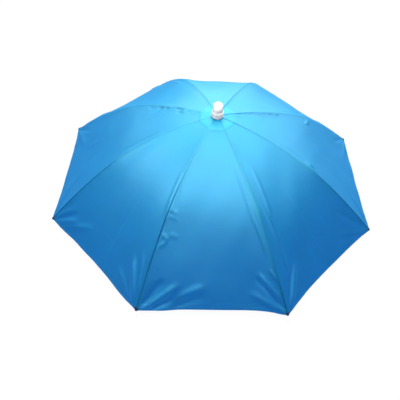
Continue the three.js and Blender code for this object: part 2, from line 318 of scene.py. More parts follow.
class CanopySettings(bpy.types.PropertyGroup):
    """The cloth canopy and the small patch on top of it."""

    radius: length("Radius", "From the axis to a corner of the hem", 325)
    rise: length("Rise", "From the corners up to the cloth at the axis", 157.5)
    knee_radius: length("Knee radius", "Where a rib folds", 190)
    knee_rise: length("Knee rise", "Height of the cloth over the knee", 106.7)
    crown_curve: number("Crown curve", "Power of the crown's curve, 1 for a cone and 2 for a round one", 1.86)
    skirt_bulge: length("Skirt bulge", "How far the outer rib bulges over a straight line", 5)
    knee_rounding: length("Knee rounding", "How far the cloth rounds off the knee, each way", 42)
    rib_bow: length("Rib bow", "How far the ribs bow sideways halfway out", 4.5)
    dip: length("Panel dip", "How far a panel's middle dips in between its ribs", 1.6)
    scallop: length("Hem scallop", "How far the hem is drawn in at a panel's middle", 3.6)
    corner_height: length("Corner height", "From the ground up to the hem's corners", 12.674)
    bore: length("Bore", "Radius of the hole round the post", 4.1)
    thickness: length("Thickness", "The cloth's thickness, with its hem", 0.8)
    hem_width: length("Hem width", "Width of the turned hem", 7)
    gather: length("Gathers", "Height of the small puckers along the seams", 0.55)
    waves: length("Waves", "Height of the cloth's slow waves between the ribs", 1.1)
    patch_radius: length("Patch radius", "From the axis to a corner of the top patch", 36)
    patch_thickness: length("Patch thickness", "Thickness of the top patch", 0.8)


class FittingSettings(bpy.types.PropertyGroup):
    """The finial, the rib tips, the rivets and the corner pockets."""

    cap_radius: length("Cap radius", "Radius of the finial's white cap", 8.5)
    cap_overlap: length("Cap overlap", "How far the cap reaches down into the collar", 0.3)
    cap_flare: length("Cap flare", "How far the cap's lower edge flares out", 0.4)
    cap_flare_height: length("Cap flare height", "Height over which the cap flares out", 2.5)
    cap_rounding: length("Cap rounding", "How far the cap's top edge is rounded", 3.8)
    collar_radius: length("Collar radius", "Radius of the fluted collar", 10.9)
    collar_body: length("Collar body", "Height of the collar's wide fluted part", 10)
    neck: length("Collar neck", "Radius of the plain neck over the collar's body", 8.8)
    flutes: count("Flutes", "Flutes round the collar", 14)
    flute_depth: length("Flute depth", "Depth of the collar's flutes", 1.3)
    tip_radius: length("Tip radius", "Radius of the bead at a rib's end", 2.4)
    neck_radius: length("Neck radius", "Radius of a rib tip behind its bead", 1.3)
    root_radius: length("Root radius", "Radius of a rib tip's root, where the rib goes in", 1.75)
    tip_length: length("Tip length", "Length of a rib tip", 13)
    rivet_radius: length("Rivet radius", "Radius of a rivet's head", 1.7)
    rivet_reach: length("Rivet reach", "From the middle of a rib to a rivet's head", 3.2)
    rivet_back: length("Rivet back", "How far inside the knee its rivet sits", 5)
    rivet_depth: length("Rivet depth", "How far below the cloth a rivet sits", 3.6)
    pocket_length: length("Pocket length", "How far a corner pocket reaches back from the corner", 6.5)
    pocket_width: length("Pocket width", "Half width of a corner pocket at its open end", 3.6)


class BandSettings(bpy.types.PropertyGroup):
    """The elastic headband and the straps that hang it from the ribs."""

    inside: length("Inside radius", "Inside radius of the headband", 92)
    thickness: length("Band thickness", "Thickness of the elastic", 2)
    cords: count("Cords", "Rubber cords woven across the band's height", 11)
    cord_depth: length("Cord depth", "Depth of the grooves between the cords", 0.28)
    strap_width: length("Strap width", "Width of a hanging strap", 14)
    strap_thickness: length("Strap thickness", "Thickness of a hanging strap", 1.6)
    strap_slack: length("Strap slack", "How far a strap waves between the rib and the band", 0.5)
    stitch_radius: length("Stitch radius", "Radius of the thread that sews the straps on", 0.28)
    stitch_length: length("Stitch length", "Length of a stitch in the straps", 1.9)
    stitch_pitch: length("Stitch pitch", "From one stitch in a strap to the next", 2.6)


class ColourSettings(bpy.types.PropertyGroup):
    """Colours, as sRGB hex values."""

    cloth: colour("Cloth", "The canopy's dyed cloth", "0DCFEA")
    through: colour("Light through the cloth", "Colour of the light that comes through the cloth", "6400EE")
    thread: colour("Thread", "Sewing thread and the shade in the seams", "025EAE")
    plastic: colour("White plastic", "The finial, hub and runner", "F4F5F6")
    tip: colour("Tip plastic", "The rib tips", "F3ECE4")
    steel: colour("Steel", "Plated ribs and stretchers", "C6C9CC")
    elastic: colour("Elastic", "The woven elastic", "23252A")
    # The pocket's dark colour is painted shade: it is the canopy's cloth, folded and turned from the light.
    pocket: colour("Pocket", "The folded cloth at the hem's corners", "0A3468")
    floor: colour("Floor", "The studio floor", "FFFFFF")
    bounce: colour("Floor's light", "Cool colour of the floor in the cloth's gloss", "7CD2F8")


class StageSettings(bpy.types.PropertyGroup):
    """The studio's camera, lights and floor."""

    elevation: tilt("Elevation", "How steeply the camera looks down", 51.74)
    roll: tilt("Roll", "The camera's turn about its own axis", 3.46)
    side: tilt("Side turn", "How far the camera stands to the left", 1.75)
    distance: length("Distance", "From the camera to the middle of the rim", 865.5)
    focal: number("Focal length", "Focal length in pixels of a picture 400 pixels wide", 415.7)
    centre_x: number("Centre X", "Pixel column of the rim's middle", 212.0)
    centre_y: number("Centre Y", "Pixel row of the rim's middle", 175.2)
    light: number("Light", "Share of the lights' usual power", 1.0)
    light_size: length("Light size", "Side of each square light", 900)
    light_distance: length("Light distance", "From the hat to each light", 1450)
    card: number("Card", "Power of the card's light", 16, unit="POWER")
    ambient: number("Ambient", "Light that comes from all round", 0.001)
    glow: number("Floor glow", "Light that the white floor gives by itself", 0.97)


# Canopy shape


def belly(across):
    """0 at a panel's two ribs and 1 in its middle, along a parabola."""
    return 4 * across * (1 - across)


def smooth(low, high, value):
    """0 below low, 1 above high, and an even curve between them."""
    t = np.clip((value - low) / (high - low), 0, 1)
    return t * t * (3 - 2 * t)


def bell(value, middle, half_width):
    """1 at the middle, falling evenly to about a third at one half width on each side."""
    return np.exp(-(((value - middle) / half_width) ** 2))


def skirt_share(c, radius):
    """How far out on the skirt a radius lies: 0 at the knee and on the crown, and 1 at a corner."""
    return np.maximum(0, (radius - c.knee_radius) / (c.radius - c.knee_radius))


def beside_rib(across, radius):
    """How far a place on a panel lies from the nearer rib."""
    return radius * math.sin(TURN) * np.minimum(across, 1 - across)


def rib_height(c, radius):
    """Height of the cloth's outer face over the hem's corners, at a radius along a rib."""
    down = (radius - c.knee_radius) / (c.radius - c.knee_radius)
    skirt = c.knee_rise * (1 - down) + c.skirt_bulge * 4 * down * (1 - down)
    crown = c.rise - (c.rise - c.knee_rise) * (np.maximum(radius, 0) / c.knee_radius) ** c.crown_curve
    return np.where(radius > c.knee_radius, skirt, crown)


def cloth_height(c, across, radius):
    """Height of the cloth, which rounds off the knee: a little at the seams, and more in a panel's middle."""
    rounding = c.knee_rounding * (SEAM_ROUNDING + (1 - SEAM_ROUNDING) * belly(across))
    reach = rounding * bell(radius, c.knee_radius, KNEE_SPREAD * MM)
    total = sum(weight * rib_height(c, radius + step * reach) for step, weight in KNEE_STEPS)
    return total / sum(weight for _, weight in KNEE_STEPS)


def rib_slope(c, radius):
    """Slope of the cloth along a rib, in radians."""
    step = 1 * MM
    inside = np.maximum(radius - step, 0)
    return np.arctan2(rib_height(c, inside) - rib_height(c, radius + step), radius + step - inside)


def hem_reach(c, across, radius):
    """The radius that the cloth really has, once the hem is drawn in between the corners."""
    return radius - belly(across) * skirt_share(c, radius) * c.scallop / FLAT_SHARE


def hem_change(c, panel, across, radius):
    """How far the hem of one panel stands out past the even scallop, or in from it."""
    change = HEM_CHANGE.get(panel, [0] * len(HEM_ACROSS))
    near = [np.interp(across + step, HEM_ACROSS, change) for step in HEM_STEPS]
    return sum(near) / len(near) * np.minimum(1, 3 * belly(across)) * skirt_share(c, radius) * MM


def bowed(c, points):
    """Turns points about the axis, as far as the ribs bow sideways there."""
    radius = np.hypot(points[..., 0], points[..., 1])
    reach = np.minimum(radius / c.radius, 1)
    turn = -c.rib_bow * np.sin(math.pi * reach) / np.maximum(radius, MM)
    x = points[..., 0] * np.cos(turn) - points[..., 1] * np.sin(turn)
    y = points[..., 0] * np.sin(turn) + points[..., 1] * np.cos(turn)
    return np.stack([x, y, points[..., 2]], axis=-1)


def panel_point(c, panel, across, radius):
    """Points of the canopy's outer face in the hat's frame. across runs from 0 to 1 between two ribs."""
    reach = hem_reach(c, across, radius) + hem_change(c, panel, across, radius)
    start = RIB_ANGLES[panel]
    end = start + TURN
    middle = (start + end) / 2
    x = reach * ((1 - across) * math.cos(start) + across * math.cos(end))
    y = reach * ((1 - across) * math.sin(start) + across * math.sin(end))
    slope = rib_slope(c, reach)
    dip = belly(across) * c.dip * np.interp(reach / c.radius, DIP_REACH, DIP_SHARE)
    x = x - np.sin(slope) * math.cos(middle) * dip
    y = y - np.sin(slope) * math.sin(middle) * dip
    z = cloth_height(c, across, reach) - np.cos(slope) * dip + c.corner_height
    return bowed(c, np.stack([x, y, z], axis=-1))


def flat_place(c, across, radius):
    """Where a point lies in the panel's flat cut: sideways from its middle line, and down from its top."""
    reach = hem_reach(c, across, radius)
    # The way down the panel's middle line, summed over short steps.
    grid = np.linspace(0, c.radius * 1.02, 500)
    rise = np.diff(rib_height(c, grid))
    down = np.concatenate([[0], np.cumsum(np.hypot(np.diff(grid) * FLAT_SHARE, rise))])
    return np.stack([(across - 0.5) * 2 * reach * HALF_CHORD, np.interp(reach, grid, down)], axis=-1)


def cloth_area(c, outside):
    """Area of the flat cut out to a radius: eight triangles, as wide as the hem and as long as a panel."""
    edge = flat_place(c, np.array([0.0, 1.0]), np.array([outside, outside]))
    return PANELS * (edge[1][0] - edge[0][0]) * edge[0][1] / 2


def line_place(c, line, flat):
    """Where places in the flat cut lie along a line, as a share of its length, and how far beside it."""
    across_1, reach_1, across_2, reach_2 = line
    start = flat_place(c, np.array(across_1), np.array(reach_1 * c.radius))
    end = flat_place(c, np.array(across_2), np.array(reach_2 * c.radius))
    run = np.linalg.norm(end - start)
    along = (end - start) / run
    offset = flat - start
    return offset @ along / run, offset[..., 0] * along[1] - offset[..., 1] * along[0]


def fold_relief(c, panel, flat):
    """Height of the long folds of one panel, at places in its flat cut."""
    total = np.zeros(flat.shape[:-1])
    for where, *line, half_width, height in FOLDS:
        if where == panel:
            t, beside = line_place(c, line, flat)
            fade = smooth(-0.12, 0.25, t) * (1 - smooth(0.75, 1.12, t))
            total += FOLD_SHARE * height * MM * fade * bell(beside, 0, half_width * MM)
    return total


def crease_place(c, panel, flat):
    """How far places in a panel's flat cut lie beside its crease, and how strong the crease is there."""
    *line, strength = CREASES[panel]
    t, beside = line_place(c, line, flat)
    return beside, strength * smooth(-0.05, 0.2, t) * (1 - smooth(0.8, 1.05, t))


def gather_strength(c, panel, across, radius):
    """How strongly the stitching gathers the cloth, as a share of the setting."""
    on_skirt = smooth(-0.03, 0.03, (radius - c.knee_radius) / c.radius)
    on_crown = (1 - on_skirt) * (1 - 0.8 * smooth(0.30, 0.50, radius / c.radius))
    before, after = GATHERS[panel], GATHERS[(panel + 1) % PANELS]
    first = before["crown"][1] * on_crown + before["skirt"][1] * on_skirt
    last = after["crown"][0] * on_crown + after["skirt"][0] * on_skirt
    return np.where(across > 0.5, last, first)


def seam_shade(c, panel, across, radius):
    """How dark the nearer rib's seam shows: the thread's colour with painted shade over it."""
    ribs = (panel, (panel + 1) % PANELS)
    first, last = (np.interp(radius / c.radius, SEAM_REACH, SEAM_SHADE[rib]) for rib in ribs)
    return np.where(across > 0.5, last, first)


def sine(place, wave, phase):
    """A sine wave at a place. The place and the length of the wave are in metres."""
    return np.sin(2 * math.pi * place / wave + phase)


def slow_waves(panel, flat):
    """Slow waves of one panel's cloth, from -1 to 1, different in each panel."""
    rng = np.random.default_rng(WAVE_SEED + panel)
    total = np.zeros(flat.shape[:-1])
    for wave in WAVES:
        angle, phase = rng.uniform(0, math.pi), rng.uniform(0, 2 * math.pi)
        place = flat[..., 0] * math.cos(angle) + flat[..., 1] * math.sin(angle)
        total += sine(place, wave * MM, phase) * wave / WAVES[-1]
    return total / 2


def gather_line(seed, along):
    """An uneven row of puckers along a seam, from -1 to 1."""
    rng = np.random.default_rng(seed)
    total = np.zeros(along.shape)
    for wave in PUCKER_WAVES:
        total += sine(along, wave * MM, rng.uniform(0, 2 * math.pi))
    swell = 0.55 + 0.45 * sine(along, SWELL_WAVE * MM, rng.uniform(0, 2 * math.pi))
    return total / len(PUCKER_WAVES) * swell


def seam_relief(c, panel, across, radius, flat):
    """Height of the sewn seams: a stitched groove on each rib, a ridge beside it and the gathers. The groove is
    0.2 mm deep, and 0.6 mm where the seam shows darkest. The gathers die out about 20 mm from the rib."""
    beside = beside_rib(across, radius)
    groove = -(0.2 + 0.4 * seam_shade(c, panel, across, radius)) * MM * bell(beside, 0, GROOVE * MM)
    ridge = 0.22 * MM * bell(beside, 2.4 * MM, 1.5 * MM)
    fade = smooth(0.02, 0.12, radius / c.radius)
    total = (groove + ridge) * fade
    strength = gather_strength(c, panel, across, radius)
    rise = smooth(0, 4 * MM, beside) * np.exp(-beside / (9 * MM))
    for end in [False, True]:
        puckers = gather_line(SEAM_SEED * panel + end, flat[..., 1] + 0.5 * beside)
        total += np.where((across > 0.5) == end, c.gather * strength * puckers * rise * fade, 0)
    return total


def hem_relief(c, panel, radius, flat):
    """Height of the turned hem: 0.3 mm for its second layer, less 0.25 mm along its line of stitches, with a
    ripple of 0.18 mm each way."""
    inward = c.radius - radius
    step = 0.3 * MM * (1 - smooth(c.hem_width * 0.85, c.hem_width * 1.1, inward))
    stitches = -0.25 * MM * bell(inward, c.hem_width * 0.8, 0.8 * MM)
    puckers = gather_line(HEM_SEED + panel, flat[..., 0])
    ripple = 0.18 * MM * puckers * (1 - smooth(0, 2 * c.hem_width, inward))
    return step + stitches + ripple


def canopy_relief(c, panel, across, radius, flat):
    """Height of all that stands on the canopy's even face."""
    hold = smooth(0, 0.25, np.minimum(across, 1 - across)) * smooth(0.08, 0.35, radius / c.radius)
    return (
        c.waves * slow_waves(panel, flat) * hold
        + fold_relief(c, panel, flat)
        + seam_relief(c, panel, across, radius, flat)
        + hem_relief(c, panel, radius, flat)
    )


def patch_relief(c, panel, across, radius, flat):
    """Height of the patch over the even face: its seams' grooves, its thin edge and a few puckers."""
    groove = -0.35 * MM * bell(beside_rib(across, radius), 0, GROOVE * MM)
    lift = 0.2 * MM + 0.9 * c.patch_thickness * smooth(0, 5 * MM, c.patch_radius - radius)
    puckers = 0.10 * MM * gather_line(PATCH_SEED + panel, flat[..., 0])
    return lift + groove * smooth(0.03, 0.05, radius / c.radius) + puckers


def column_shares(radius, columns):
    """Shares across a panel for the columns of its mesh at one radius: close together beside the seams."""
    half = radius * math.sin(TURN) / 2
    beside_seam = np.array(BESIDE_SEAM) * MM
    beside_seam = beside_seam * min(1, 0.5 * half / beside_seam[-1])
    steps = np.linspace(1.0, 2.2, columns)
    rest = beside_seam[-1] + (half - beside_seam[-1]) * np.cumsum(steps) / steps.sum()
    first = np.concatenate([beside_seam, rest]) / (2 * half)
    return np.concatenate([first, 1 - first[-2::-1]])


def canopy_radii(c):
    """Radii of the rows of the canopy's sheet from the bore out: close together over the turned hem."""
    crown_rows, skirt_rows = 36, 42
    crown = np.linspace(c.bore, c.knee_radius, crown_rows)
    hem = c.radius - np.array(BESIDE_HEM) * MM
    skirt = np.linspace(c.knee_radius, hem[0], skirt_rows)[1:-1]
    return np.concatenate([crown, skirt, hem])


def cloth_sheet(name, c, radii, columns, relief):
    """One continuous sheet of cloth over all eight panels. relief gives its height over the even face."""
    grids, flats, reliefs = [], [], []
    marks = {mark: [] for mark in ("seam", "shade", "gather", "crease", "crease_strength", "edge")}
    for panel in range(PANELS):
        across = np.array([column_shares(radius, columns) for radius in radii])
        radius = np.repeat(radii[:, None], across.shape[1], axis=1)
        flat = flat_place(c, across, radius)
        flats.append(flat)
        grids.append(panel_point(c, panel, across, radius))
        reliefs.append(relief(c, panel, across, radius, flat))
        # The crease's strength sets its bump and its painted highlight.
        beside, crease_strength = crease_place(c, panel, flat)
        marks["seam"].append(beside_rib(across, radius) / MM)
        marks["shade"].append(seam_shade(c, panel, across, radius))
        marks["gather"].append(gather_strength(c, panel, across, radius))
        marks["crease"].append(beside / MM)
        marks["crease_strength"].append(crease_strength)
        marks["edge"].append((radii[-1] - radius) / MM)
    # Two panels share the points on their rib, at the mean of their heights there.
    points = np.concatenate([grid[:, :-1] for grid in grids], axis=1)
    height = np.concatenate([each[:, :-1] for each in reliefs], axis=1)
    rows, around = height.shape
    for panel in range(PANELS):
        rib = panel * around // PANELS
        height[:, rib] = (height[:, rib] + reliefs[panel - 1][:, -1]) / 2
    side = np.roll(points, -1, axis=1) - np.roll(points, 1, axis=1)
    normal = np.cross(np.gradient(points, axis=0), side)
    normal /= np.linalg.norm(normal, axis=-1, keepdims=True)
    points = points + normal * height[..., None]
    index = np.arange(rows * around).reshape(rows, around)
    following = np.roll(index, -1, axis=1)
    faces = np.stack([index[:-1], index[1:], following[1:], following[:-1]], axis=-1).reshape(-1, 4)
    sheet = new_piece(name, points.reshape(-1, 3).tolist(), faces.tolist())
    corners = []
    for row in range(rows - 1):
        for flat in flats:
            this, below = flat[row], flat[row + 1]
            quads = np.stack([this[:-1], below[:-1], below[1:], this[1:]], axis=1)
            corners.append(quads.reshape(-1, 2))
    layer = sheet.data.uv_layers.new(name="cloth")
    layer.data.foreach_set("uv", np.concatenate(corners).astype(np.float32).ravel())
    for mark, values in marks.items():
        layer = sheet.data.attributes.new(mark, "FLOAT", "POINT")
        values = np.concatenate([each[:, :-1] for each in values], axis=1)
        layer.data.foreach_set("value", values.astype(np.float32).ravel())
    sheet.data.update()
    return sheet


# Modelling helpers


def pick_none():
    """Deselects everything, so that the next operator acts on new pieces alone."""
    bpy.ops.object.select_all(action="DESELECT")


def pick(*objects):
    """Selects these objects alone, and makes the first one active."""
    pick_none()
    for o in objects:
        o.select_set(True)
    bpy.context.view_layer.objects.active = objects[0]


def new_piece(name, points, faces):
    """A new object from lists of points and faces."""
    mesh = bpy.data.meshes.new(name)
    mesh.from_pydata(points, [], faces)
    piece = bpy.data.objects.new(name, mesh)
    bpy.context.scene.collection.objects.link(piece)
    return piece


def new_cylinder(vertices, radius, depth, location=(0, 0, 0), rotation=(0, 0, 0)):
    """A cylinder to start a piece from, alone in the selection and with its place in its mesh."""
    pick_none()
    bpy.ops.mesh.primitive_cylinder_add(
        vertices=vertices, radius=radius, depth=depth, location=location, rotation=rotation
    )
    place_in_mesh()
    return bpy.context.object


def place_in_mesh():
    """Moves the place, turn and scale of what is selected into its mesh."""
    bpy.ops.object.transform_apply(location=True, rotation=True, scale=True)


def edit():
    """Goes into edit mode."""
    bpy.ops.object.mode_set(mode="EDIT")


def end_edit():
    """Leaves edit mode."""
    bpy.ops.object.mode_set(mode="OBJECT")


def cut_level(heights):
    """In edit mode, cuts the whole piece with a level plane at each height."""
    for height in heights:
        bpy.ops.mesh.select_all(action="SELECT")
        bpy.ops.mesh.bisect(plane_co=(0, 0, float(height)), plane_no=(0, 0, 1))


def select_faces(test):
    """In edit mode, selects the faces whose middle and normal pass the test, and nothing else."""
    bpy.ops.mesh.select_all(action="DESELECT")
    end_edit()
    for face in bpy.context.object.data.polygons:
        face.select = bool(test(face.center, face.normal))
    edit()


def select_edges(test):
    """In edit mode, selects the edges whose two ends pass the test, and nothing else."""
    bpy.ops.mesh.select_mode(type="EDGE")
    bpy.ops.mesh.select_all(action="DESELECT")
    end_edit()
    mesh = bpy.context.object.data
    for edge in mesh.edges:
        a, b = (mesh.vertices[i].co for i in edge.vertices)
        edge.select = bool(test(a, b))
    edit()


def apply_modifier(piece, kind, **values):
    """Adds a modifier with its settings to a piece and applies it."""
    pick(piece)
    modifier = piece.modifiers.new(kind.title(), kind)
    for name, value in values.items():
        setattr(modifier, name, value)
    bpy.ops.object.modifier_apply(modifier=modifier.name)


def dress(piece, material):
    """Gives a piece or a CAD node's object one material."""
    piece.data.materials.clear()
    piece.data.materials.append(material)


def settle(piece, name, material, angle=35):
    """Moves a finished piece's place into its mesh, names it and gives it its finish."""
    pick(piece)
    place_in_mesh()
    bpy.ops.object.shade_smooth_by_angle(angle=math.radians(angle))
    piece.name = name
    piece.data.name = name
    dress(piece, material)
    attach(piece, "root")
    return piece


def copies(piece, turns):
    """Copies of a piece turned about the hat's axis, each with its own mesh. The piece itself is removed."""
    made = []
    for turn in turns:
        copy = piece.copy()
        copy.data = piece.data.copy()
        copy.data.transform(Matrix.Rotation(turn, 4, "Z"))
        bpy.context.scene.collection.objects.link(copy)
        made.append(copy)
    bpy.data.objects.remove(piece)
    return made


def joined(pieces):
    """Several pieces as one object."""
    pick(*pieces)
    bpy.ops.object.join()
    return bpy.context.object


def bow_mesh(c, piece):
    """Gives a piece the ribs' sideways bow."""
    mesh = piece.data
    places = np.zeros(len(mesh.vertices) * 3)
    mesh.vertices.foreach_get("co", places)
    mesh.vertices.foreach_set("co", bowed(c, places.reshape(-1, 3)).ravel())
    mesh.update()


def node_points(name, turn=0):
    """A CAD node's points, turned about the hat's axis, as rows of x, y and z."""
    points = np.array([v.co for v in frame["nodes"][name].data.vertices])
    return np.array(Matrix.Rotation(turn, 3, "Z")) @ points.T


def strap_angle(i):
    """Where a hanging strap stands round the hat's axis."""
    middle = node_points(f"band_hanger_{i + 1}").mean(axis=1)
    return math.atan2(middle[1], middle[0])


# Materials


def linear(hex_colour):
    """An sRGB hex value as a linear colour with alpha."""
    parts = [int(hex_colour[i : i + 2], 16) / 255 for i in (0, 2, 4)]
    return [p / 12.92 if p <= 0.04045 else ((p + 0.055) / 1.055) ** 2.4 for p in parts] + [1.0]


def shade(rgb, share):
    """A colour made darker or lighter by a share."""
    return [min(1.0, p * share) for p in rgb[:3]] + [1.0]


def node(tree, kind, inputs=None, **values):
    """Adds a shader node with its settings. inputs holds numbers and colours, or the outputs that feed each
    socket. A Mix of colours has its factor in socket 0, its colours in 6 and 7, its result in output 2."""
    made = tree.nodes.new("ShaderNode" + kind)
    for name, value in values.items():
        setattr(made, name, value)
    for key, value in (inputs or {}).items():
        if isinstance(value, bpy.types.NodeSocket):
            tree.links.new(value, made.inputs[key])
        else:
            made.inputs[key].default_value = value
    return made


def blank_material(name):
    """A material with an empty node tree."""
    material = bpy.data.materials.new(name)
    material.use_nodes = True
    material.node_tree.nodes.clear()
    return material, material.node_tree


def finish_material(tree, inputs, through=None, share=None):
    """The Principled shader and the output of a material. through is the colour of light that thin cloth lets
    through, and share feeds how much of the light takes that way."""
    surface = node(tree, "BsdfPrincipled", inputs).outputs["BSDF"]
    if through:
        passed = node(tree, "BsdfTranslucent", {"Color": through}).outputs["BSDF"]
        surface = node(tree, "MixShader", {0: share, 1: surface, 2: passed}).outputs["Shader"]
    node(tree, "OutputMaterial", {"Surface": surface})


def band(tree, value, middle, half, soft):
    """1 where a value lies within half of a middle, falling to 0 over soft."""
    off = node(tree, "Math", {0: value, 1: middle}, operation="SUBTRACT").outputs[0]
    off = node(tree, "Math", {0: off}, operation="ABSOLUTE").outputs[0]
    edges = {"Value": off, "From Min": half, "From Max": half + soft, "To Min": 1.0, "To Max": 0.0}
    return node(tree, "MapRange", edges).outputs["Result"]


def stitch_row(tree, along, row, strength):
    """The stitches of a row: dashes along it, as dark as their strength."""
    stitch = node(tree, "Math", {0: along, 1: 1 / (STITCH * MM)}, operation="MULTIPLY").outputs[0]
    dash = node(tree, "Math", {0: stitch}, operation="FRACT").outputs[0]
    dash = node(tree, "Math", {0: dash, 1: STITCH_SHARE}, operation="LESS_THAN").outputs[0]
    shown = node(tree, "Math", {0: row, 1: dash}, operation="MULTIPLY").outputs[0]
    return node(tree, "Math", {0: shown, 1: strength}, operation="MULTIPLY").outputs[0]


def sewn_lines(tree, uv, seam, hem_line):
    """How much of the thread's colour shows: a dark line on each rib, which is thread with painted shade over
    it, a row of stitches on each side of it and the row of stitches in the hem. hem_line is how dark the hem's
    row is."""
    edge = node(tree, "Attribute", attribute_name="edge").outputs["Fac"]
    painted_seam_shade = node(tree, "Attribute", attribute_name="shade").outputs["Fac"]
    split = node(tree, "SeparateXYZ", {"Vector": uv})
    # The line on each rib is thread with painted shade, as dark as the seam's shade.
    line = node(tree, "Math", {0: band(tree, seam, 0.0, 0.7, 0.8), 1: painted_seam_shade}, operation="MULTIPLY").outputs[0]
    rows = stitch_row(tree, split.outputs["Y"], band(tree, seam, 2.0, 0.25, 0.3), SEAM_LINE)
    hem = stitch_row(tree, split.outputs["X"], band(tree, edge, 5.6, 0.25, 0.4), hem_line)
    lines = node(tree, "Math", {0: line, 1: rows}, operation="MAXIMUM").outputs[0]
    return node(tree, "Math", {0: lines, 1: hem}, operation="MAXIMUM").outputs[0]


def stretched_noise(tree, uv, scale, detail):
    """Uneven streaks on the cloth. scale is how many go to a metre, sideways and down the panel."""
    place = node(tree, "Mapping", {"Vector": uv, "Scale": (*scale, 1)}).outputs["Vector"]
    return node(tree, "TexNoise", {"Vector": place, "Scale": 1.0, "Detail": detail}).outputs["Fac"]


def pucker_height(tree, uv, seam):
    """Puckers about 6 mm apart and 22 mm long beside the seams, where the stitching gathers the cloth."""
    gather = node(tree, "Attribute", attribute_name="gather").outputs["Fac"]
    pucker = stretched_noise(tree, uv, (45, 170), 1.0)
    edges = {"Value": seam, "From Min": 3.0, "From Max": 13.0, "To Min": 1.0, "To Max": 0.0}
    near = node(tree, "MapRange", edges).outputs["Result"]
    near = node(tree, "Math", {0: near, 1: gather}, operation="MULTIPLY").outputs[0]
    # They come and go along a seam, in patches 25 mm long.
    here = node(tree, "TexNoise", {"Vector": uv, "Scale": 40.0, "Detail": 1.0}).outputs["Fac"]
    here = node(tree, "MapRange", {"Value": here, "From Min": 0.38, "From Max": 0.62}).outputs["Result"]
    near = node(tree, "Math", {0: near, 1: here}, operation="MULTIPLY").outputs[0]
    return node(tree, "Math", {0: pucker, 1: near}, operation="MULTIPLY").outputs[0]


def bumps(tree, layers):
    """The normal that layers of relief give together. A layer has its height, strength and depth in mm."""
    normal = None
    for height, strength, depth in layers:
        inputs = {"Height": height, "Strength": strength, "Distance": depth * MM}
        if normal:
            inputs["Normal"] = normal
        normal = node(tree, "Bump", inputs).outputs["Normal"]
    return normal


def polyester_taffeta(name, colours, painted_light_share, hem_line):
    """Woven polyester, thin and tight, with a satin face. The eye gets a soft wide gloss, fine threads across
    the panel, and darker lines where the panels are sewn together, which are thread with painted shade."""
    material, tree = blank_material(name)
    # For the patch, the cloth's colour is painted lighter here, for the extra light and gloss that its flat top
    # catches.
    cloth = shade(linear(colours.cloth), painted_light_share)
    uv = node(tree, "UVMap", uv_map="cloth").outputs["UV"]
    # Slubs: threads that are a little thicker than the next, 2 mm apart and 60 mm long, and the same down the
    # panel for the warp.
    slubs = stretched_noise(tree, uv, (16, 480), 2.0)
    warp = stretched_noise(tree, uv, (420, 14), 2.0)
    tones = {0: slubs, 6: shade(cloth, 0.92), 7: shade(cloth, 1.08)}
    dyed = node(tree, "Mix", tones, data_type="RGBA").outputs[2]
    # The dye is a little uneven too, in patches 45 mm wide.
    patches = node(tree, "TexNoise", {"Vector": uv, "Scale": 22.0, "Detail": 2.0}).outputs["Fac"]
    uneven = {0: 0.10, 6: dyed, 7: patches}
    dyed = node(tree, "Mix", uneven, data_type="RGBA", blend_type="MULTIPLY").outputs[2]
    seam = node(tree, "Attribute", attribute_name="seam").outputs["Fac"]
    lines = sewn_lines(tree, uv, seam, hem_line)
    # The thread's colour and painted shade go into the cloth along the seams.
    sewn = node(tree, "Mix", {0: lines, 6: dyed, 7: linear(colours.thread)}, data_type="RGBA").outputs[2]
    # Less light comes through the four layers of a seam than through one of cloth. The sheet has an outer and
    # an inner face, so each share acts twice.
    thin = node(tree, "MapRange", {"Value": lines, "To Min": 0.45, "To Max": 0.3}).outputs["Result"]
    # The pressed finish is lost where the needle goes through, and the thread is duller than the cloth.
    gleam = node(tree, "MapRange", {"Value": lines, "To Min": 0.95, "To Max": 1.0}).outputs["Result"]
    finish = node(tree, "MapRange", {"Value": lines, "To Min": 0.8, "To Max": 0.0}).outputs["Result"]
    # Crease: a painted highlight makes the cloth a little lighter along the sharp fold.
    crease = node(tree, "Attribute", attribute_name="crease").outputs["Fac"]
    crease_strength = node(tree, "Attribute", attribute_name="crease_strength").outputs["Fac"]
    fold = band(tree, crease, 0.0, 0.3, 1.3)
    folded = node(tree, "Math", {0: fold, 1: crease_strength}, operation="MULTIPLY").outputs[0]
    painted_crease_highlight = node(tree, "Math", {0: folded, 1: 0.25}, operation="MULTIPLY").outputs[0]
    creased = node(tree, "Mix", {0: painted_crease_highlight, 6: sewn, 7: shade(cloth, 1.7)}, data_type="RGBA").outputs[2]
    # The real weave has 4 threads to the millimetre. It is drawn at 1 thread to 0.8 mm, so that it shows.
    # A wave texture of scale 1 has its waves 2 pi / 20 apart.
    weave = 2 * math.pi / (20 * 0.8 * MM)
    weft = node(tree, "TexWave", {"Vector": uv, "Scale": weave}, bands_direction="Y").outputs["Fac"]
    ends = node(tree, "TexWave", {"Vector": uv, "Scale": weave}, bands_direction="X").outputs["Fac"]
    threads = node(tree, "Math", {0: weft, 1: ends}, operation="MULTIPLY").outputs[0]
    thick = node(tree, "Math", {0: slubs, 1: warp}, operation="ADD").outputs[0]
    pucker = pucker_height(tree, uv, seam)
    gloss = {"Value": slubs, "From Min": 0.3, "From Max": 0.7, "To Min": 0.62, "To Max": 0.68}
    finish_material(
        tree,
        {
            "Base Color": creased,
            "Roughness": node(tree, "MapRange", gloss).outputs["Result"],
            "Metallic": gleam,
            "Coat Weight": finish,
            "Coat Roughness": 0.45,
            "Coat IOR": 1.9,
            "Normal": bumps(
                tree, [(threads, 0.12, 0.1), (thick, 0.35, 0.12), (pucker, 1.0, 1.8), (folded, 1.0, 0.35)]
            ),
        },
        through=linear(colours.through),
        share=thin,
    )


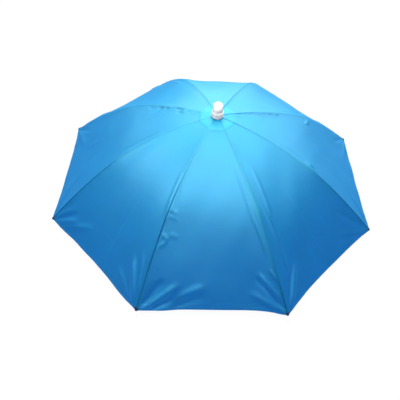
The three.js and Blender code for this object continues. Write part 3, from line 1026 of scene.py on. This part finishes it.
def folded_taffeta(rgb):
    """The same taffeta in a double layer, turned from the light and too small to show its weave. Its dark
    colour is painted shade. The eye gets a dull dark fold."""
    material, tree = blank_material("folded taffeta")
    place = node(tree, "TexCoord").outputs["Object"]
    cloud = node(tree, "TexNoise", {"Vector": place, "Scale": 500.0, "Detail": 2.0}).outputs["Fac"]
    tones = {0: cloud, 6: shade(rgb, 0.75), 7: shade(rgb, 1.25)}
    tone = node(tree, "Mix", tones, data_type="RGBA").outputs[2]
    finish_material(
        tree, {"Base Color": tone, "Roughness": 0.55, "Normal": bumps(tree, [(cloud, 0.4, 0.3)])}
    )


def moulded_plastic(name, rgb, roughness=0.32):
    """Injection-moulded polypropylene. The eye gets a soft milky gloss and the mould's faint unevenness."""
    material, tree = blank_material(name)
    place = node(tree, "TexCoord").outputs["Object"]
    # Clouds 4 mm wide.
    cloud = node(tree, "TexNoise", {"Vector": place, "Scale": 260.0, "Detail": 3.0}).outputs["Fac"]
    tone = node(tree, "Mix", {0: cloud, 6: shade(rgb, 0.95), 7: rgb}, data_type="RGBA").outputs[2]
    gloss = {"Value": cloud, "To Min": roughness - 0.05, "To Max": roughness + 0.08}
    finish_material(
        tree,
        {
            "Base Color": tone,
            "Roughness": node(tree, "MapRange", gloss).outputs["Result"],
            "IOR": 1.49,
            "Subsurface Weight": 1.0,
            "Subsurface Radius": (1.0, 1.0, 1.0),
            "Subsurface Scale": 9 * MM,
            "Normal": bumps(tree, [(cloud, 0.15, 0.1)]),
        },
    )


def plated_steel(rgb):
    """Rolled steel strip, nickel plated. The eye gets a bright metal with fine drawn lines and dull spots."""
    material, tree = blank_material("nickel plated steel")
    place = node(tree, "TexCoord").outputs["Object"]
    lines = node(tree, "TexNoise", {"Vector": place, "Scale": 900.0, "Detail": 2.0}).outputs["Fac"]
    # Dull spots 8 mm wide.
    spots = node(tree, "TexNoise", {"Vector": place, "Scale": 120.0, "Detail": 4.0}).outputs["Fac"]
    tone = node(tree, "Mix", {0: spots, 6: shade(rgb, 0.82), 7: rgb}, data_type="RGBA").outputs[2]
    gloss = {"Value": spots, "From Min": 0.3, "From Max": 0.7, "To Min": 0.24, "To Max": 0.42}
    finish_material(
        tree,
        {
            "Base Color": tone,
            "Metallic": 1.0,
            "Roughness": node(tree, "MapRange", gloss).outputs["Result"],
            "Normal": bumps(tree, [(lines, 0.12, 0.05)]),
        },
    )


def woven_elastic(rgb):
    """Woven elastic braid of polyester over rubber cords. The eye gets dull cloth with upright threads."""
    material, tree = blank_material("woven elastic")
    place = node(tree, "TexCoord").outputs["Object"]
    # Threads 1.2 mm apart round the band, drawn a little coarser than the real 0.6 mm.
    split = node(tree, "SeparateXYZ", {"Vector": place})
    x, y, z = (split.outputs[axis] for axis in "XYZ")
    turn = node(tree, "Math", {0: y, 1: x}, operation="ARCTAN2").outputs[0]
    turn = node(tree, "Math", {0: turn, 1: 480.0}, operation="MULTIPLY").outputs[0]
    threads = node(tree, "Math", {0: turn}, operation="SINE").outputs[0]
    height = node(tree, "Math", {0: z, 1: 2600.0}, operation="MULTIPLY").outputs[0]
    rows = node(tree, "Math", {0: height}, operation="SINE").outputs[0]
    knit = node(tree, "Math", {0: threads, 1: rows}, operation="MULTIPLY").outputs[0]
    knit = node(tree, "MapRange", {"Value": knit, "From Min": -1.0, "From Max": 1.0}).outputs["Result"]
    fuzz = node(tree, "TexNoise", {"Vector": place, "Scale": 700.0, "Detail": 3.0}).outputs["Fac"]
    tone = node(tree, "Mix", {0: knit, 6: shade(rgb, 0.7), 7: shade(rgb, 1.5)}, data_type="RGBA").outputs[2]
    height = node(tree, "Math", {0: knit, 1: fuzz}, operation="ADD").outputs[0]
    finish_material(
        tree,
        {
            "Base Color": tone,
            "Roughness": 0.85,
            "Sheen Weight": 0.3,
            "Sheen Roughness": 0.5,
            "Normal": bumps(tree, [(height, 0.5, 0.25)]),
        },
    )


def white_paper(white, bounce, glow):
    """White paper sweep. The eye gets plain white with hardly a shadow, because the paper glows by itself. In
    the cloth's gloss it is cool."""
    material, tree = blank_material("white studio paper")
    gloss = node(tree, "LightPath").outputs["Is Glossy Ray"]
    light = node(tree, "Mix", {0: gloss, 6: shade(white, glow), 7: bounce}, data_type="RGBA").outputs[2]
    finish_material(
        tree,
        {
            "Base Color": shade(white, 0.03),
            "Roughness": 0.9,
            "Specular IOR Level": 0.1,
            "Emission Color": light,
            "Emission Strength": 1.0,
        },
    )
    return material


def materials():
    """The hat's materials, made once. The patch's cloth is painted lighter, for the extra light and gloss that
    its flat top catches. The fluted collar is the same white plastic, painted greyer than the cap for the shade
    on its side."""
    kept = bpy.data.materials
    colours = bpy.context.scene.hat_colours
    if "woven polyester taffeta" not in kept:
        polyester_taffeta("woven polyester taffeta", colours, painted_light_share=1.0, hem_line=0.25)
        # The patch is painted lighter, for the extra light and gloss that its flat top catches.
        polyester_taffeta("taffeta patch", colours, painted_light_share=1.16, hem_line=0.1)
        folded_taffeta(linear(colours.pocket))
        moulded_plastic("moulded polypropylene", linear(colours.plastic))
        # The collar is the cap's white plastic, painted darker for the shade on its side.
        moulded_plastic("polypropylene with painted shade", shade(linear(colours.plastic), 0.68), roughness=0.45)
        moulded_plastic("moulded tip plastic", linear(colours.tip), roughness=0.4)
        moulded_plastic("sewing thread", linear(colours.thread), roughness=0.6)
        plated_steel(linear(colours.steel))
        woven_elastic(linear(colours.elastic))
    return {
        "cloth": kept["woven polyester taffeta"],
        "patch": kept["taffeta patch"],
        "pocket": kept["folded taffeta"],
        "plastic": kept["moulded polypropylene"],
        "collar": kept["polypropylene with painted shade"],
        "tip": kept["moulded tip plastic"],
        "thread": kept["sewing thread"],
        "steel": kept["nickel plated steel"],
        "elastic": kept["woven elastic"],
    }


# Pieces


def pocket(c, f):
    """One corner pocket on the line of the X axis: a folded pouch that narrows towards the corner."""
    slope = float(rib_slope(c, np.array(c.radius)))
    out = Vector((math.cos(slope), 0, -math.sin(slope)))
    up = Vector((math.sin(slope), 0, math.cos(slope)))
    corner = Vector((c.radius, 0, c.corner_height))
    fall = math.tan(TURN / 2) * math.tan(slope) * math.cos(slope)
    points = []
    for back, width, depth in POCKET_SECTIONS:
        middle = corner - out * (f.pocket_length * back)
        for step in range(POCKET_SIDES):
            angle = 2 * math.pi * step / POCKET_SIDES
            beside = f.pocket_width * width * math.cos(angle)
            level = 0.9 * MM - fall * abs(beside)
            if math.sin(angle) < 0:
                low = -depth * MM
                level = low + (level - low) * abs(math.cos(angle)) ** 2.4
            points.append(tuple(middle + Vector((0, beside, 0)) + up * level))
    index = np.arange(len(points)).reshape(-1, POCKET_SIDES)
    following = np.roll(index, -1, axis=1)
    walls = np.stack([index[:-1], index[1:], following[1:], following[:-1]], axis=-1).reshape(-1, 4)
    piece = new_piece("pocket", points, [*walls.tolist(), index[0].tolist(), index[-1][::-1].tolist()])
    pick(piece)
    edit()
    bpy.ops.mesh.select_all(action="SELECT")
    bpy.ops.mesh.normals_make_consistent(inside=False)
    end_edit()
    apply_modifier(piece, "SUBSURF", levels=1, render_levels=1)
    bow_mesh(c, piece)
    return piece


def finial_cap(f):
    """The finial's white cap: it flares out to the collar, and has a rounded edge and a raised middle."""
    low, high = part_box("finial_cap")
    bottom = low.z - f.cap_overlap
    cap = new_cylinder(64, f.cap_radius, high.z - bottom, location=(0, 0, (bottom + high.z) / 2))
    edit()
    cut_level(bottom + np.linspace(0, f.cap_flare_height, 6)[1:])
    end_edit()
    for vertex in cap.data.vertices:
        down = 1 - min(1, (vertex.co.z - bottom) / f.cap_flare_height)
        vertex.co.xy *= 1 + (f.cap_flare / f.cap_radius) * down**2
    edit()
    wide = 0.9 * f.cap_radius
    small = 0.1 * MM
    select_edges(lambda a, b: min(a.z, b.z) > high.z - small and a.xy.length > wide)
    bpy.ops.mesh.bevel(offset=f.cap_rounding, segments=8, affect="EDGES")
    # The middle of its top stands a quarter of a millimetre higher.
    select_faces(lambda m, n: n.z > 0.99)
    bpy.ops.mesh.inset(thickness=2.2 * MM)
    bpy.ops.transform.translate(value=(0, 0, 0.25 * MM))
    select_edges(lambda a, b: max(a.z, b.z) < bottom + small and a.xy.length > wide)
    bpy.ops.mesh.bevel(offset=small, segments=2, affect="EDGES")
    end_edit()
    settle(cap, "finial_dome", materials()["plastic"])
    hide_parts("finial_cap")


def finial_collar(f):
    """The finial's collar: a wide fluted body with a rounded rim, and a plain neck over it."""
    low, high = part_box("finial_collar")
    tall = high.z - low.z
    rim = f.collar_body
    # Height from the bottom, and radius.
    profile = [
        (0, f.collar_radius - 0.5 * MM),
        (0.6 * MM, f.collar_radius),
        (rim - 1.8 * MM, f.collar_radius),
        (rim - 0.6 * MM, f.collar_radius - 0.3 * MM),
        (rim, f.collar_radius - 1.0 * MM),
        (rim + 0.3 * MM, f.neck + 0.1 * MM),
        (rim + 0.9 * MM, f.neck - 0.1 * MM),
        (tall, f.neck - 0.1 * MM),
    ]
    heights, radii = zip(*profile)
    collar = new_cylinder(8 * f.flutes, f.collar_radius, tall, location=(0, 0, low.z + tall / 2))
    edit()
    cut_level(low.z + height for height in heights[1:-1])
    end_edit()
    for vertex in collar.data.vertices:
        if vertex.co.xy.length > MM:
            radius = float(np.interp(vertex.co.z - low.z, heights, radii))
            vertex.co.xy = vertex.co.xy.normalized() * radius
    step = 2 * math.pi / f.flutes

    def in_flute(m, n):
        upright = abs(n.z) <= 0.3 and heights[1] < m.z - low.z < heights[2]
        return upright and (math.atan2(m.y, m.x) % step) / step < 0.5

    edit()
    bpy.ops.mesh.select_mode(type="FACE")
    select_faces(in_flute)
    bpy.ops.mesh.inset(thickness=0.15 * MM, use_boundary=True)
    bpy.ops.mesh.extrude_region_shrink_fatten(TRANSFORM_OT_shrink_fatten={"value": -f.flute_depth})
    end_edit()
    settle(collar, "finial_fluted_collar", materials()["collar"])
    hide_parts("finial_collar")


def rib_tip(c, f):
    """One rib tip on the line of the X axis: a thick root, a thin neck and a round bead."""
    slope = float(rib_slope(c, np.array(c.radius)))
    # The tip starts where its CAD node does, and runs on in line with the outer rib.
    places = node_points("rib_tip_1", -RIB_ANGLES[0])
    along = places[0] * math.cos(slope) - places[2] * math.sin(slope)
    first = places[:, along < along.min() + 0.05 * MM].mean(axis=1)
    tip = new_cylinder(24, f.neck_radius, f.tip_length)
    edit()
    cut_level((share - 0.5) * f.tip_length for share in TIP_CUTS)
    end_edit()
    bead = f.tip_length / 2 - f.tip_radius
    for vertex in tip.data.vertices:
        place = vertex.co
        if place.xy.length < 0.1 * MM:
            continue
        past = (place.z - bead) / f.tip_radius
        swell = math.sqrt(max(0, 1 - min(1, past) ** 2)) if past > -1 else 0
        radius = max(f.neck_radius if place.z < bead else 0.25 * MM, swell * f.tip_radius)
        if place.z < -0.42 * f.tip_length:
            radius = f.root_radius
        place.xy = place.xy.normalized() * radius
    out = Vector((math.cos(slope), 0, -math.sin(slope)))
    tip.data.transform(Matrix.Rotation(math.pi / 2 + slope, 4, "Y"))
    tip.data.transform(Matrix.Translation(Vector(first) + out * (f.tip_length / 2)))
    return tip


def rivet(c, f):
    """A domed rivet through the knee on the line of the X axis, in the middle of the rib's depth."""
    knee = c.knee_radius - f.rivet_back
    slope = float(rib_slope(c, np.array(knee)))
    height = float(rib_height(c, np.array(knee))) + c.corner_height
    place = (knee - math.sin(slope) * f.rivet_depth, 0, height - math.cos(slope) * f.rivet_depth)
    pin = new_cylinder(20, f.rivet_radius * 0.98, 2 * f.rivet_reach, place, (math.pi / 2, 0, 0))
    edit()
    bpy.ops.mesh.select_mode(type="FACE")
    select_faces(lambda m, n: abs(n.y) > 0.99)
    bpy.ops.mesh.bevel(offset=f.rivet_radius * 0.4, segments=3, affect="EDGES")
    end_edit()
    bow_mesh(c, pin)
    return pin


def elastic_band(b, bottom, tall):
    """The headband's elastic: a ring with a groove between each two of its cords, and thin edges."""
    around, rows = 192, 6 * b.cords
    points = []
    for row in range(rows + 1):
        share = row / rows
        groove = b.cord_depth * (0.5 - 0.5 * math.cos(2 * math.pi * b.cords * share))
        edge = 0.5 * MM * (smooth(0.96, 1, share) + 1 - smooth(0, 0.04, share))
        radius = b.inside + b.thickness - b.cord_depth + groove - edge
        for step in range(around):
            turn = 2 * math.pi * step / around
            points.append((radius * math.cos(turn), radius * math.sin(turn), bottom + share * tall))
    index = np.arange((rows + 1) * around).reshape(rows + 1, around)
    following = np.roll(index, -1, axis=1)
    faces = np.stack([index[:-1], following[:-1], following[1:], index[1:]], axis=-1).reshape(-1, 4)
    elastic = new_piece("band", points, faces.tolist())
    apply_modifier(elastic, "SOLIDIFY", thickness=b.thickness - b.cord_depth, offset=-1)
    settle(elastic, "elastic_band", materials()["elastic"], angle=50)
    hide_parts("headband")
    return elastic


def strap(b, i):
    """A hanging strap of woven tape, with rounded edges."""
    low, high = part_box(f"band_hanger_{i + 1}")
    angle = strap_angle(i)
    across = node_points(f"band_hanger_{i + 1}", -angle)[0]
    middle = ((across.min() + across.max()) / 2, 0, (low.z + high.z) / 2)
    pick_none()
    bpy.ops.mesh.primitive_cube_add(size=1, location=middle)
    tape = bpy.context.object
    tape.scale = (b.strap_thickness, b.strap_width, high.z - low.z)
    place_in_mesh()
    edit()
    cut_level(np.linspace(low.z, high.z, 14)[1:-1])
    same = 1e-6
    select_edges(lambda p, q: (p - q).xy.length < same and abs(p.z - q.z) > 1 * MM)
    bpy.ops.mesh.bevel(offset=0.5 * MM, segments=3, affect="EDGES")
    end_edit()
    # The tape is a little slack: it waves gently between the rib and the band.
    for vertex in tape.data.vertices:
        share = (vertex.co.z - low.z) / (high.z - low.z)
        free = smooth(0.28, 0.5, share) * (1 - smooth(0.85, 1.0, share))
        vertex.co.x += float(b.strap_slack * free * math.sin(5 * share + i))
    tape.data.transform(Matrix.Rotation(angle, 4, "Z"))
    settle(tape, f"hanging_strap_{i + 1}", materials()["elastic"], angle=40)
    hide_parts(f"band_hanger_{i + 1}")
    return tape


def strap_stitches(b, bottom, tall):
    """Thread stitches that sew each strap to the band, in a box with its two diagonals."""
    half = b.strap_width / 2 - 2.2 * MM
    margin = 3 * MM
    # A strap lies 0.3 mm off the band, and the thread's middle 0.1 mm off the strap.
    radius = b.inside + b.thickness + 0.3 * MM + b.strap_thickness + 0.1 * MM
    corners = [(-half, margin), (half, margin), (half, tall - margin), (-half, tall - margin)]
    made = []
    for first, last in [(0, 1), (1, 2), (2, 3), (3, 0), (0, 2), (1, 3)]:
        (y1, z1), (y2, z2) = corners[first], corners[last]
        stitches = max(2, int(math.hypot(y2 - y1, z2 - z1) / b.stitch_pitch))
        for k in range(stitches):
            share = (k + 0.5) / stitches
            place = (radius, y1 + (y2 - y1) * share, bottom + z1 + (z2 - z1) * share)
            lean = (-math.atan2(y2 - y1, z2 - z1), 0, 0)
            made.append(new_cylinder(6, b.stitch_radius, b.stitch_length, place, lean))
    sewn = joined(copies(joined(made), [strap_angle(i) for i in range(PANELS)]))
    return settle(sewn, "strap_stitches", materials()["thread"])


# Operators


class HAT_OT_canopy(bpy.types.Operator):
    """Sews the eight-panel canopy as one sheet of cloth"""

    bl_idname = "hat.canopy"
    bl_label = "Canopy"

    def execute(self, context):
        c = context.scene.hat_canopy
        canopy = cloth_sheet("canopy_cloth", c, canopy_radii(c), columns=26, relief=canopy_relief)
        apply_modifier(canopy, "SOLIDIFY", thickness=c.thickness, offset=-1)
        settle(canopy, "canopy_cloth", materials()["cloth"], angle=60)
        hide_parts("canopy")
        return {"FINISHED"}


class HAT_OT_patch(bpy.types.Operator):
    """Lays the small eight-sided patch over the middle of the canopy"""

    bl_idname = "hat.patch"
    bl_label = "Top patch"

    def execute(self, context):
        c = context.scene.hat_canopy
        radii = np.linspace(c.bore, c.patch_radius, 16)
        patch = cloth_sheet("patch_cloth", c, radii, columns=12, relief=patch_relief)
        apply_modifier(patch, "SOLIDIFY", thickness=c.patch_thickness, offset=-1)
        settle(patch, "patch_cloth", materials()["patch"], angle=60)
        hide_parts("top_patch")
        return {"FINISHED"}


class HAT_OT_pockets(bpy.types.Operator):
    """Sews a folded pocket over each corner of the hem, where the rib's end sits"""

    bl_idname = "hat.pockets"
    bl_label = "Corner pockets"

    def execute(self, context):
        c = context.scene.hat_canopy
        pockets = joined(copies(pocket(c, context.scene.hat_fittings), RIB_ANGLES))
        settle(pockets, "corner_pockets", materials()["pocket"], angle=50)
        cloth_area(c, c.radius)
        cloth_area(c, c.patch_radius)
        return {"FINISHED"}


class HAT_OT_finial(bpy.types.Operator):
    """Turns the white cap and the fluted collar on top of the hat"""

    bl_idname = "hat.finial"
    bl_label = "Finial"

    def execute(self, context):
        f = context.scene.hat_fittings
        finial_cap(f)
        finial_collar(f)
        return {"FINISHED"}


class HAT_OT_tips(bpy.types.Operator):
    """Moulds a beaded tip for the end of each rib"""

    bl_idname = "hat.tips"
    bl_label = "Rib tips"

    def execute(self, context):
        tip = rib_tip(context.scene.hat_canopy, context.scene.hat_fittings)
        for i, piece in enumerate(copies(tip, RIB_ANGLES)):
            settle(piece, f"beaded_tip_{i + 1}", materials()["tip"], angle=40)
            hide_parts(f"rib_tip_{i + 1}")
        return {"FINISHED"}


class HAT_OT_ribs(bpy.types.Operator):
    """Gives the steel ribs and stretchers their finish and rivets their joints"""

    bl_idname = "hat.ribs"
    bl_label = "Ribs and rivets"

    def execute(self, context):
        kept = materials()
        for i in range(PANELS):
            for name in ("inner_rib", "outer_rib", "stretcher"):
                dress(frame["nodes"][f"{name}_{i + 1}"], kept["steel"])
        for name, material in (("hub", "plastic"), ("runner", "plastic"), ("post", "steel")):
            dress(frame["nodes"][name], kept[material])
        pin = rivet(context.scene.hat_canopy, context.scene.hat_fittings)
        settle(joined(copies(pin, RIB_ANGLES)), "knee_rivets", kept["steel"])
        return {"FINISHED"}


class HAT_OT_headband(bpy.types.Operator):
    """Weaves the elastic headband and the straps that hang it from the ribs"""

    bl_idname = "hat.headband"
    bl_label = "Headband"

    def execute(self, context):
        b = context.scene.hat_band
        low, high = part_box("headband")
        tall = high.z - low.z
        elastic = elastic_band(b, low.z, tall)
        straps = [strap(b, i) for i in range(PANELS)]
        stitches = strap_stitches(b, low.z, tall)
        return {"FINISHED"}


class HAT_OT_stage(bpy.types.Operator):
    """Sets the white floor, the lights and the camera"""

    bl_idname = "hat.stage"
    bl_label = "Studio"

    def execute(self, context):
        scene = context.scene
        s = scene.hat_stage
        pick_none()
        bpy.ops.mesh.primitive_plane_add(size=9, location=(0, 0, -0.4 * MM))
        floor = bpy.context.object
        floor.name = "floor"
        paper = white_paper(linear(scene.hat_colours.floor), linear(scene.hat_colours.bounce), s.glow)
        floor.data.materials.append(paper)
        add_camera(s, scene.hat_canopy)
        scene.world = studio_air(s.ambient)
        for name, azimuth, elevation, power in LIGHTS:
            a, e = math.radians(azimuth), math.radians(elevation)
            way = Vector((math.cos(e) * math.cos(a), math.cos(e) * math.sin(a), math.sin(e)))
            add_light(name, Vector(LIGHT_AIM) + way * s.light_distance, s.light_size, power * s.light)
        # A card in front lights the white plastic alone.
        card = add_light("card", (-0.3, -1.1, 0.9), s.light_size, s.card)
        lit = bpy.data.collections.new("white plastic")
        for piece in scene.objects:
            if piece.name.startswith(("finial_dome", "finial_fluted", "beaded_tip")):
                lit.objects.link(piece)
        card.light_linking.receiver_collection = lit
        scene.view_settings.view_transform = "Standard"
        return {"FINISHED"}


def studio_air(ambient):
    """White air behind the hat, which the camera sees in full and which lights the hat a little."""
    world = bpy.data.worlds.new("studio air")
    world.use_nodes = True
    tree = world.node_tree
    tree.nodes.clear()
    seen = node(tree, "LightPath").outputs["Is Camera Ray"]
    air = node(tree, "MapRange", {"Value": seen, "To Min": ambient, "To Max": 1.0}).outputs["Result"]
    back = node(tree, "Background", {"Color": (1, 1, 1, 1), "Strength": air}).outputs["Background"]
    node(tree, "OutputWorld", {"Surface": back})
    return world


def add_camera(s, c):
    """The camera, placed so that the rim's middle falls on its pixel, looking down on the hat's front."""
    e = s.elevation
    forward = Vector((0, math.cos(e), -math.sin(e)))
    level = Vector((1, 0, 0))
    over = level.cross(forward)
    right = level * math.cos(s.roll) + over * math.sin(s.roll)
    up = over * math.cos(s.roll) - level * math.sin(s.roll)
    aside, below = s.centre_x - PICTURE / 2, s.centre_y - PICTURE / 2
    ray = forward + right * (aside / s.focal) - up * (below / s.focal)
    place = -ray.normalized() * s.distance
    turn = Matrix.Rotation(-s.side, 3, "Z")
    axes = Matrix((right, up, -forward)).transposed()
    data = bpy.data.cameras.new("camera")
    data.sensor_width = 36
    data.lens = s.focal / PICTURE * data.sensor_width
    data.clip_start = 0.01
    camera = bpy.data.objects.new("camera", data)
    matrix = (turn @ axes).to_4x4()
    matrix.translation = turn @ place + Vector((0, 0, c.corner_height))
    camera.matrix_world = matrix
    bpy.context.scene.collection.objects.link(camera)
    bpy.context.scene.camera = camera


def add_light(name, place, size, power):
    """A soft square light that faces the hat's crown."""
    data = bpy.data.lights.new(name, "AREA")
    data.shape = "SQUARE"
    data.size = size
    data.energy = power
    light = bpy.data.objects.new(name, data)
    bpy.context.scene.collection.objects.link(light)
    light.location = place
    aim = Vector(LIGHT_AIM) - Vector(place)
    light.rotation_euler = aim.to_track_quat("-Z", "Y").to_euler()
    return light


class HAT_PT_panel(bpy.types.Panel):
    """Lists the steps that build the umbrella hat"""

    bl_idname = "HAT_PT_panel"
    bl_label = "Umbrella hat"
    bl_space_type = "VIEW_3D"
    bl_region_type = "UI"
    bl_category = "Umbrella hat"

    def draw(self, context):
        for step in STEPS:
            self.layout.operator(step.bl_idname)


STEPS = [
    HAT_OT_canopy,
    HAT_OT_patch,
    HAT_OT_pockets,
    HAT_OT_finial,
    HAT_OT_tips,
    HAT_OT_ribs,
    HAT_OT_headband,
    HAT_OT_stage,
]
GROUPS = {
    "hat_canopy": CanopySettings,
    "hat_fittings": FittingSettings,
    "hat_band": BandSettings,
    "hat_colours": ColourSettings,
    "hat_stage": StageSettings,
}


def register():
    for name, group in GROUPS.items():
        bpy.utils.register_class(group)
        setattr(bpy.types.Scene, name, bpy.props.PointerProperty(type=group))
    for kind in [*STEPS, HAT_PT_panel]:
        bpy.utils.register_class(kind)


def unregister():
    for kind in reversed([*STEPS, HAT_PT_panel]):
        bpy.utils.unregister_class(kind)
    for name, group in GROUPS.items():
        delattr(bpy.types.Scene, name)
        bpy.utils.unregister_class(group)


def main():
    register()
    bpy.ops.hat.canopy()
    bpy.ops.hat.patch()
    bpy.ops.hat.pockets()
    bpy.ops.hat.finial()
    bpy.ops.hat.tips()
    bpy.ops.hat.ribs()
    bpy.ops.hat.headband()
    bpy.ops.hat.stage()


if __name__ == "__main__":
    main()
